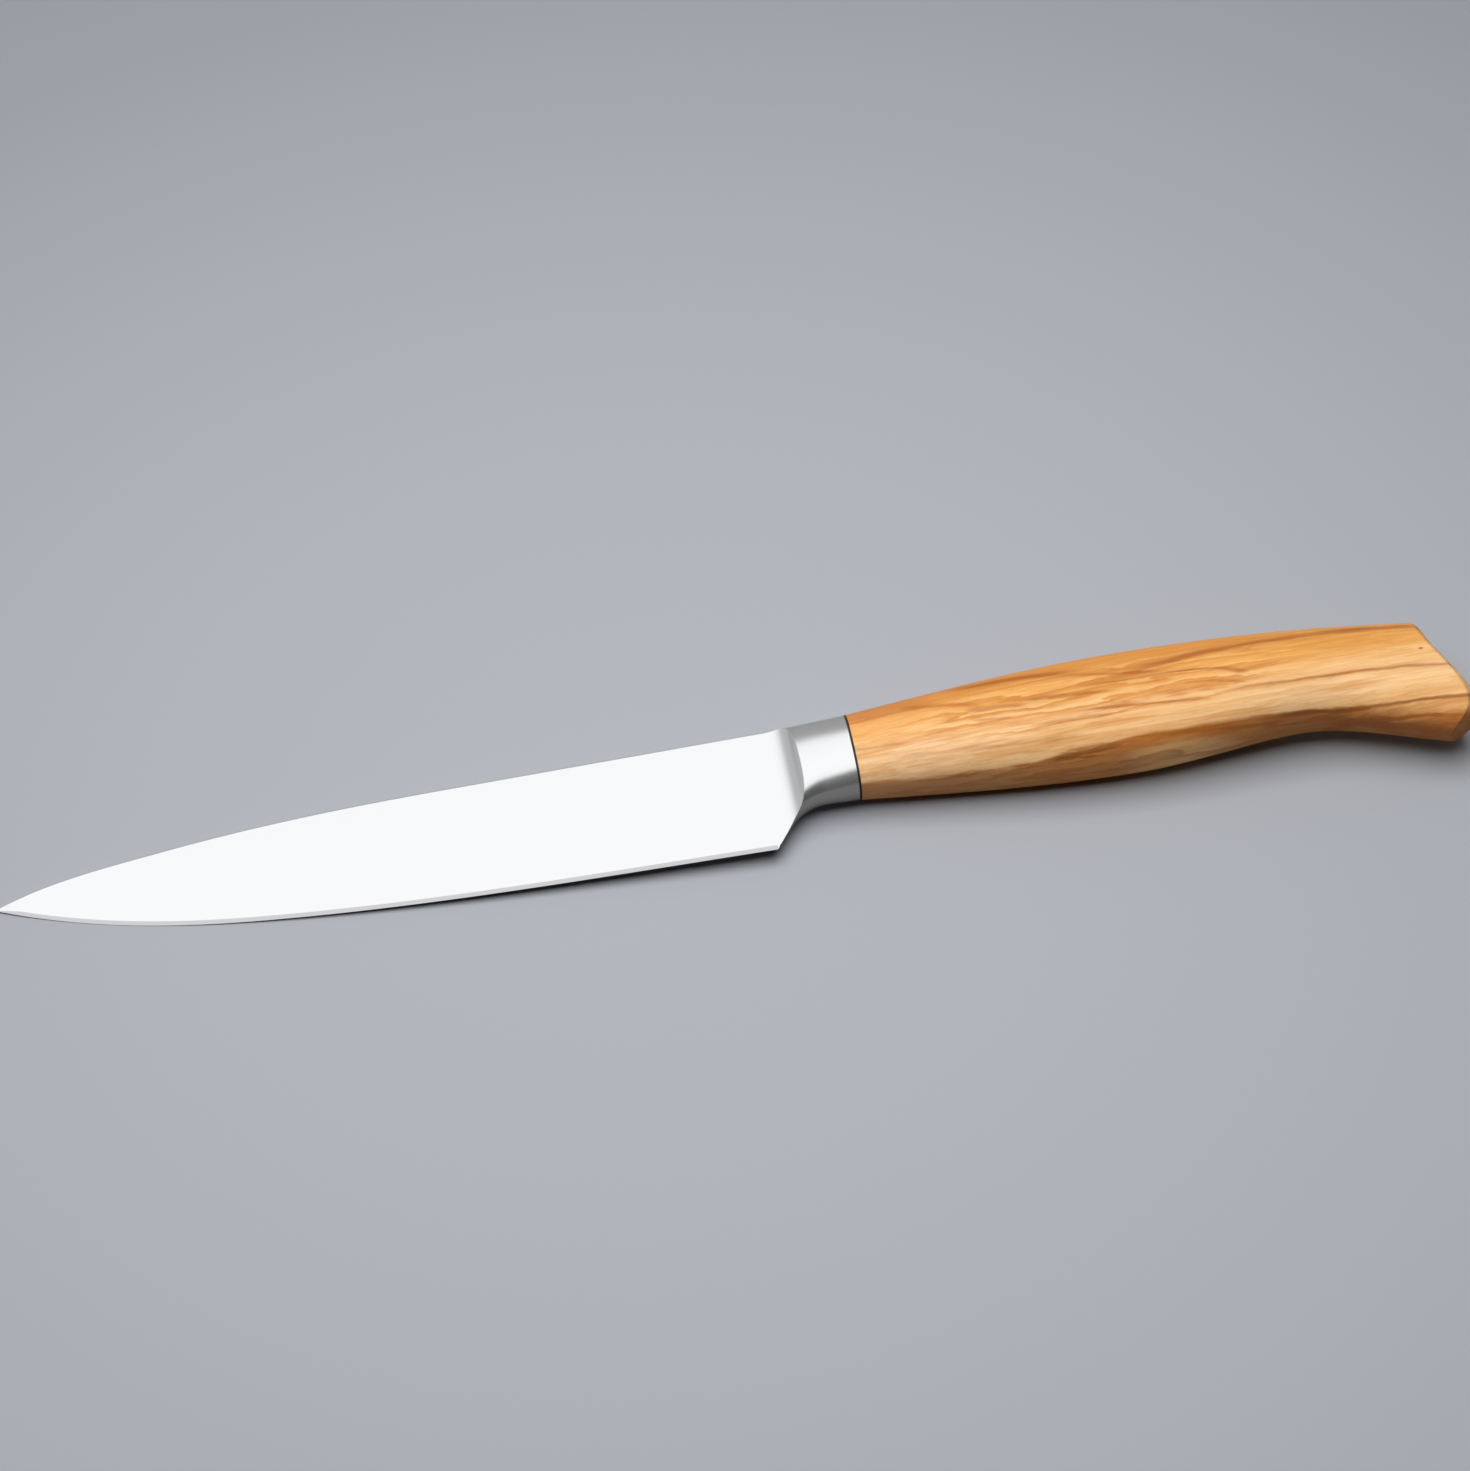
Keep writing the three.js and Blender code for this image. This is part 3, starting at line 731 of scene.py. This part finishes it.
# Growth rings, cut along the flank in long flames: each pales sharply and darkens slowly to its late wood
growth = (height + wander(dashes, DASH_SWING) + wander(broad, BROAD_SWING)) / RING_WIDTH
ring = growth.math("FRACT", growth)
early = ring.fall(*EARLY_ENDS)
late = ring.band(LATE_COMES, LATE_GOES)
flamed = from_middle(x, height, *FLAMES).fall(*SOFT_RIM)

# Dark heartwood under a rim that runs along the belly, with a patch and a paler place in it. Towards the
# bottom of the beak it darkens further: partly the heartwood's colour, partly painted shade.
heart_rim = RIM_HEIGHT
for start, end, change in RIM_STEPS:
    heart_rim = heart_rim + change * x.rise(start, end)
below_rim = heart_rim - height
from_line = abs(below_rim - RIM_LINE_DEPTH)
under = below_rim.rise(*RIM_EDGE)
heart = under * (1 - 0.7 * x.rise(*HEART_GOES))
deep = heart * x.band(DEEP_COMES, DEEP_GOES)
rim_vein = x.rise(*RIM_VEIN_COMES) * from_line.fall(*RIM_VEIN_WIDTH)
rim_line = x.band(RIM_LINE_COMES, RIM_LINE_GOES) * from_line.fall(*RIM_LINE_WIDTH)
patch = from_middle(x, height, *PATCH).fall(*SOFT_RIM)
sapwood = from_middle(x, height, *SAPWOOD).fall(0, 1) * (0.4 + 0.9 * strands)
# Darker the deeper below the rim at the beak: heartwood, with painted shade under the hook
beak = under * x.rise(*BEAK_COMES) * below_rim.rise(*BEAK_DEPTH)

# Tones that lie along the flank, and its dark lines: arches round the tip of a flame, a knot and the veins.
# The rosy band at the front and the pale band further back, low on the flank, are partly the wood's own tone
# and partly painted light, which lightens the lower flank where the softbox reaches it less.
pale_and_painted_light = height.band(PALE_FOOT, PALE_TOP) * x.rise(*PALE_COMES)
rosy_and_painted_light = height.band(ROSY_FOOT, ROSY_TOP) * (1 - 0.7 * x.rise(*ROSY_GOES))
golden = (height + wander(streaks, STREAK_SWING)).rise(*GOLD_UP) * (0.5 + 0.4 * x.rise(*GOLD_COMES))
crown = height.rise(*CROWN_UP) * (1 - 0.6 * x.rise(*CROWN_GOES))
front_top = x.fall(*FRONT_TOP_GOES) * (height + wander(dashes, DASH_SWING)).rise(*FRONT_TOP_UP)
arch = abs(from_middle(x, height, *ARCH) - 1).fall(*ARCH_LINE) * height.rise(*ARCH_FOOT)
inner_arch = abs(from_middle(x, height, *INNER_ARCH) - 1).fall(*ARCH_LINE) * height.rise(*INNER_ARCH_FOOT)
knot = from_middle(x, height, *KNOT).fall(*KNOT_RIM)
veins = 0.6 * x.rise(*ARCHES_COME) * (arch + 0.8 * inner_arch)
for drawn in VEINS:
    veins = veins + vein(x, height, *drawn)

# Layers of colour from the ground up, each as: its colour, how much of it there is
upper = height.rise(*CREAM_UP)
rim_strands = rim_line * strands.rise(*RIM_STRANDS)
layers = [
    # The pale and rosy bands in these first two layers are partly painted light on the lower flank
    (CREAM, 0.8 * broad.rise(*BROAD_CREAM) + pale_and_painted_light),
    (ROSE_WITH_PAINTED_LIGHT, 0.8 * rosy_and_painted_light + 0.3 * pale_and_painted_light),
    (GOLD, golden),
    (CREAM, streaks.fall(*CREAM_STREAKS) * (0.7 - 0.5 * upper)),
    (AMBER, 0.5 * streaks.rise(*AMBER_STREAKS) + 0.9 * crown),
    (RUST, front_top),
    (CREAM, flamed * early * (0.8 - 0.4 * upper)),
    (AMBER, 0.9 * flamed * late),
    (RUST, 0.6 * flamed * late * dashes.rise(*RUST_DASHES)),
    (AMBER, 0.25 * (1 - flamed) * late),
    (RUST, 0.9 * heart * (1 - 0.8 * sapwood)),
    (AMBER, 0.7 * heart * (1 - sapwood) * dashes.fall(*HEART_DASHES)),
    (CREAM, 0.5 * sapwood * heart),
    (TAN, 0.8 * heart * x.fall(*TAN_GOES)),
    # The beak's brown here is partly painted shade
    (BROWN, 0.35 * deep + 0.75 * beak + 0.5 * heart * late + 0.7 * rim_strands),
    (UMBER, 0.75 * patch * strands.rise(*PATCH_STRANDS)),
    (BROWN, veins * (0.4 + 1.4 * dashes)),
    (UMBER, 0.9 * rim_vein * (0.3 + 1.2 * dashes) + 0.7 * knot),
    (UMBER, 0.15 * pores.rise(*DARK_PORES)),
]
tone = STRAW
for colour, amount in layers:
    tone = amount.over(colour, tone)
shade = fibres.node("ValToRGB", {"Fac": fibres}, stops=WOOD_FIBRE_SHADES)
tone.shaded(shade).into(olive_shader, "Base Color")
(WOOD_ROUGHNESS + WOOD_FIBRE_ROUGHER * fibres).into(olive_shader, "Roughness")
fibres.node("Bump", {"Height": fibres, **WOOD_FIBRE_BUMP}).into(olive_shader, "Normal")
handle.data.materials.append(olive)
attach(handle, "root")
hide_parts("handle")


# Floor
# A plain matt sheet of cool grey under the knife. In the steel it shows darker, most in front of the knife:
# a painted reflection, darker than the sheet's own grey. Far off it passes into the plain pale backdrop,
# which only the camera sees.
FLOOR_SIDE = 4.0
FLOOR_GREY = (0.404, 0.420, 0.455, 1)
FRONT_IN_STEEL = (0.16, 0.16, 0.16, 1)
BACK_IN_STEEL = (0.36, 0.36, 0.36, 1)
FRONT_TO_BACK = (-10, 30)
BACKDROP = (0.37, 0.385, 0.415, 1)
BACKDROP_COMES = (250, 520)
BLACK = (0, 0, 0, 1)
FLOOR_ROUGHNESS = 0.9
FLOOR_SPECULAR = 0.1

half = FLOOR_SIDE / 2
corners = [(-half, -half, 0), (half, -half, 0), (half, half, 0), (-half, half, 0)]
floor_mesh = bpy.data.meshes.new("floor")
floor_mesh.from_pydata(corners, [], [(0, 1, 2, 3)])
floor = bpy.data.objects.new("floor", floor_mesh)
bpy.context.collection.objects.link(floor)
sheet, sheet_shader, own = finish("grey_sheet")
# Painted reflection: glossy rays see the floor darker than it is, most in front of the knife
in_steel = own.part("Y").rise(*FRONT_TO_BACK).over(BACK_IN_STEEL, FRONT_IN_STEEL)
ground = own.node("LightPath", output="Is Glossy Ray").over(in_steel, FLOOR_GREY)
away = own.node("VectorMath", {0: own}, output="Value", operation="LENGTH")
far = away.rise(*BACKDROP_COMES) * own.node("LightPath", output="Is Camera Ray")
far.over(BLACK, ground).into(sheet_shader, "Base Color")
far.over(BACKDROP, BLACK).into(sheet_shader, "Emission Color")
sheet_shader.inputs["Emission Strength"].default_value = 1
sheet_shader.inputs["Roughness"].default_value = FLOOR_ROUGHNESS
sheet_shader.inputs["Specular IOR Level"].default_value = FLOOR_SPECULAR
floor_mesh.materials.append(sheet)


# Light
# A softbox overhead lights the knife and keeps its shadow close, with a weak light from the room behind it.
# In the steel a large white panel shows, square to the leaning flank, fading out towards a dim grey room.
# The camera sees the backdrop in place of the room.
KEY_HEIGHT = 0.46
KEY_SIDE = 0.50
KEY_LEFT = 0.02
KEY_BACK = 0.012
KEY_POWER = 3.02
BACKLIGHT = 0.445
BACKLIGHT_COMES = (0, 1)
ROOM_GREY = 0.24
ROOM_BACK_PALER = 0.14
ROOM_RIGHT_DARKER = 0.28
ROOM_DIMMEST = 0.10
HORIZON = 0.02

# The panel's brightness, and its fading edges as the steel sees them, in its heights above the knife
PANEL_WHITE = 1.22
PANEL_LEFT = (-3.2, -0.35)
PANEL_RIGHT = (0.5, 2.4)
PANEL_FRONT = (-0.58, -0.24)
PANEL_BACK = (0.85, 1.15)


def stand_looking(data, azimuth, elevation, distance, aim):
    """Stands a lamp or camera at a distance from aim, by azimuth and elevation, turned to look at it."""
    level = np.cos(elevation)
    back = np.array([np.sin(azimuth) * level, -np.cos(azimuth) * level, np.sin(elevation)])
    standing = bpy.data.objects.new(data.name, data)
    standing.location = aim + distance * back
    standing.rotation_euler = (np.pi / 2 - elevation, 0, azimuth)
    bpy.context.collection.objects.link(standing)
    return standing


key = bpy.data.lights.new("softbox", "AREA")
key.size = KEY_SIDE
key.energy = KEY_POWER
softbox = stand_looking(key, 0, np.pi / 2, KEY_HEIGHT, np.array([-KEY_LEFT, KEY_BACK, 0]))
softbox.visible_glossy = False

world = bpy.data.worlds.new("room")
world.use_nodes = True
background = world.node_tree.nodes["Background"]
direction = Value(world.node_tree).node("TexCoord", output="Generated")
tipped = direction.node("Mapping", {"Vector": direction, "Rotation": (lean, 0, 0)}, vector_type="TEXTURE")
dx, dy, dz = (tipped.part(axis) for axis in "XYZ")
overhead = dz.math("MAXIMUM", dz, HORIZON)
right = dx / overhead
behind = dy / overhead
panel = right.band(PANEL_LEFT, PANEL_RIGHT) * behind.band(PANEL_FRONT, PANEL_BACK)
room = dx.math("MAXIMUM", ROOM_GREY + ROOM_BACK_PALER * dy - ROOM_RIGHT_DARKER * dx, ROOM_DIMMEST)
mirrored = room + panel * (PANEL_WHITE - room)
backlight = BACKLIGHT * direction.part("Y").rise(*BACKLIGHT_COMES)
glossy = direction.node("LightPath", output="Is Glossy Ray")
shown = glossy * mirrored + (1 - glossy) * backlight
direction.node("LightPath", output="Is Camera Ray").over(BACKDROP, shown).into(background, "Color")
bpy.context.scene.world = world


# Camera
# Above the edge side of the knife, looking down on its upper flank with a long lens. It stands where the
# knife's outline falls on the photograph's, and its focal length is in the photograph's pixels.
AZIMUTH = np.radians(-7.400)
ELEVATION = np.radians(48.176)
ROLL = np.radians(-2.947)
DISTANCE = 0.649365
AIM_FROM_JOINT = np.array([-0.020914, 0.008601, 0.001509])
FOCAL_PIXELS = 3400
PHOTO_WIDTH = 1470
SENSOR = 36

camera = bpy.data.cameras.new("camera")
camera.sensor_width = SENSOR
camera.lens = FOCAL_PIXELS / PHOTO_WIDTH * SENSOR
bpy.context.scene.camera = stand_looking(camera, AZIMUTH, ELEVATION, DISTANCE, joint + AIM_FROM_JOINT)
bpy.context.scene.camera.rotation_euler.rotate_axis("Z", ROLL)
bpy.context.scene.view_settings.view_transform = "Standard"
